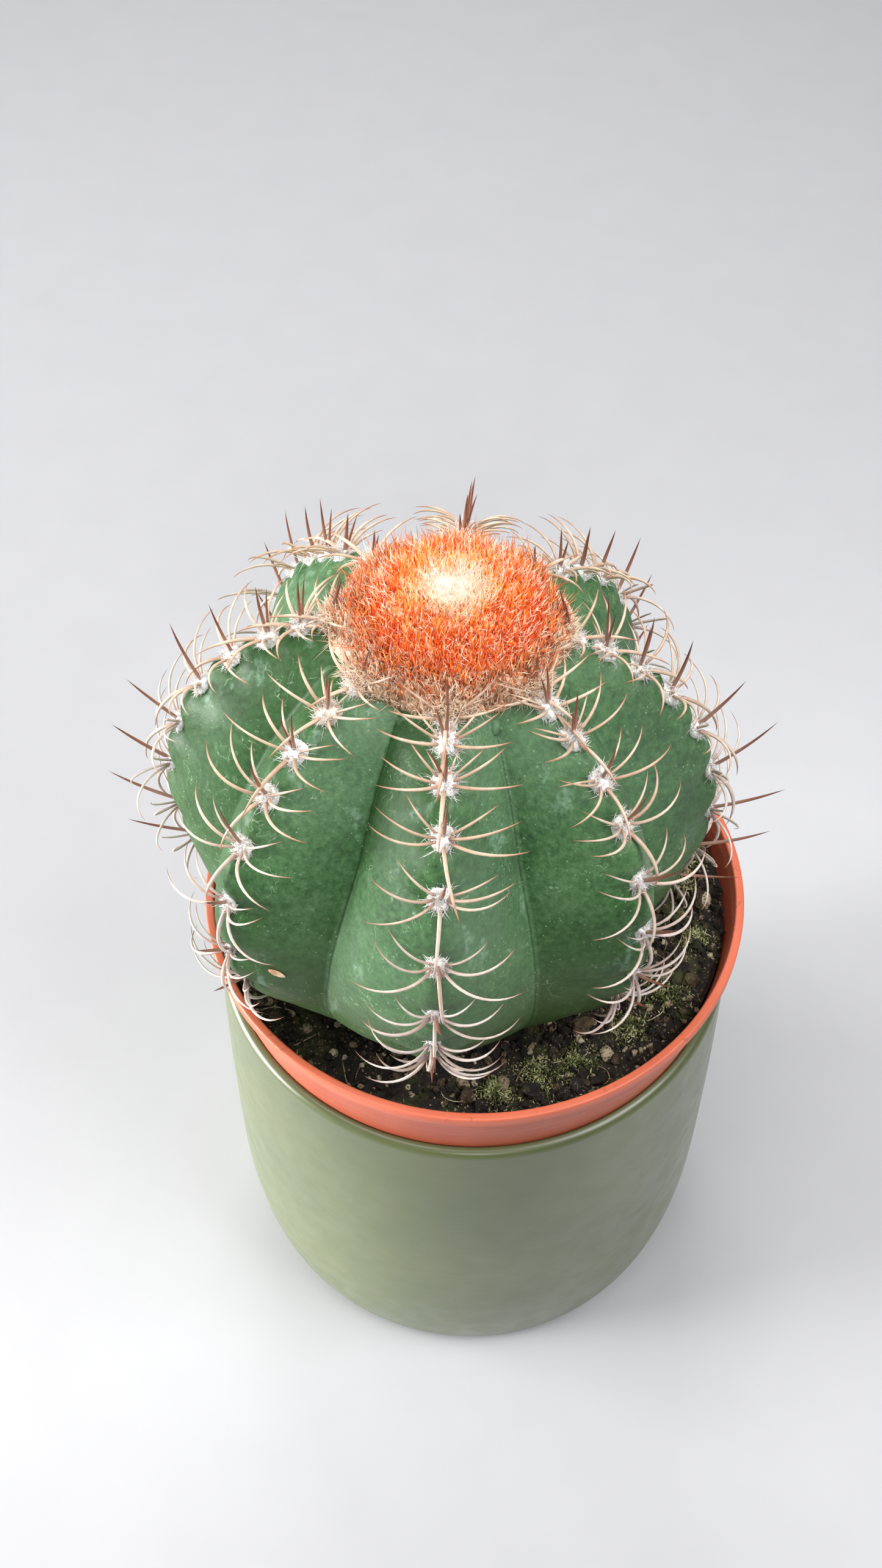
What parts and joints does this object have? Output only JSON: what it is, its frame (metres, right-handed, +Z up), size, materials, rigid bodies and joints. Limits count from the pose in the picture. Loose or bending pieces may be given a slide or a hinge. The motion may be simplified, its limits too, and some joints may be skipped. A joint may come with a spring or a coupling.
{
  "type": "potted turks cap cactus",
  "caption": "Ribbed globular Turk's cap cactus with a bristly red cephalium, in a plastic nursery pot standing in a glazed ceramic cover pot.",
  "frame": {"origin": "centre of the cover pot's flat underside", "axes": "+Z up along the pots' common axis, -Y towards the plant's front rib, +X to its right"},
  "size_m": [0.1512, 0.1506, 0.2439],
  "materials": {
    "sage_glaze": "satin",
    "terracotta_plastic": "satin",
    "potting_soil": "matte",
    "cactus_skin": "satin",
    "cap_bristle": "matte",
    "spine_horn": "satin",
    "moss": "matte",
    "pumice": "matte"
  },
  "bodies": {
    "root": {"cover_pot": "sage_glaze", "nursery_pot": "terracotta_plastic", "soil": "potting_soil", "stem": "cactus_skin", "cephalium": "cap_bristle", "areole_rib1_1": "spine_horn", "areole_rib1_2": "spine_horn", "areole_rib1_3": "spine_horn", "areole_rib1_4": "spine_horn", "areole_rib1_5": "spine_horn", "areole_rib1_6": "spine_horn", "areole_rib2_1": "spine_horn", "areole_rib2_2": "spine_horn", "areole_rib2_3": "spine_horn", "areole_rib2_4": "spine_horn", "areole_rib2_5": "spine_horn", "areole_rib2_6": "spine_horn", "areole_rib3_1": "spine_horn", "areole_rib3_2": "spine_horn", "areole_rib3_3": "spine_horn", "areole_rib3_4": "spine_horn", "areole_rib3_5": "spine_horn", "areole_rib3_6": "spine_horn", "areole_rib4_1": "spine_horn", "areole_rib4_2": "spine_horn", "areole_rib4_3": "spine_horn", "areole_rib4_4": "spine_horn", "areole_rib4_5": "spine_horn", "areole_rib4_6": "spine_horn", "areole_rib5_1": "spine_horn", "areole_rib5_2": "spine_horn", "areole_rib5_3": "spine_horn", "areole_rib5_4": "spine_horn", "areole_rib5_5": "spine_horn", "areole_rib5_6": "spine_horn", "areole_rib6_1": "spine_horn", "areole_rib6_2": "spine_horn", "areole_rib6_3": "spine_horn", "areole_rib6_4": "spine_horn", "areole_rib6_5": "spine_horn", "areole_rib6_6": "spine_horn", "areole_rib7_1": "spine_horn", "areole_rib7_2": "spine_horn", "areole_rib7_3": "spine_horn", "areole_rib7_4": "spine_horn", "areole_rib7_5": "spine_horn", "areole_rib7_6": "spine_horn", "areole_rib8_1": "spine_horn", "areole_rib8_2": "spine_horn", "areole_rib8_3": "spine_horn", "areole_rib8_4": "spine_horn", "areole_rib8_5": "spine_horn", "areole_rib8_6": "spine_horn", "moss_1": "moss", "moss_2": "moss", "moss_3": "moss", "pumice_1": "pumice", "pumice_2": "pumice"}
  },
  "joints": []
}
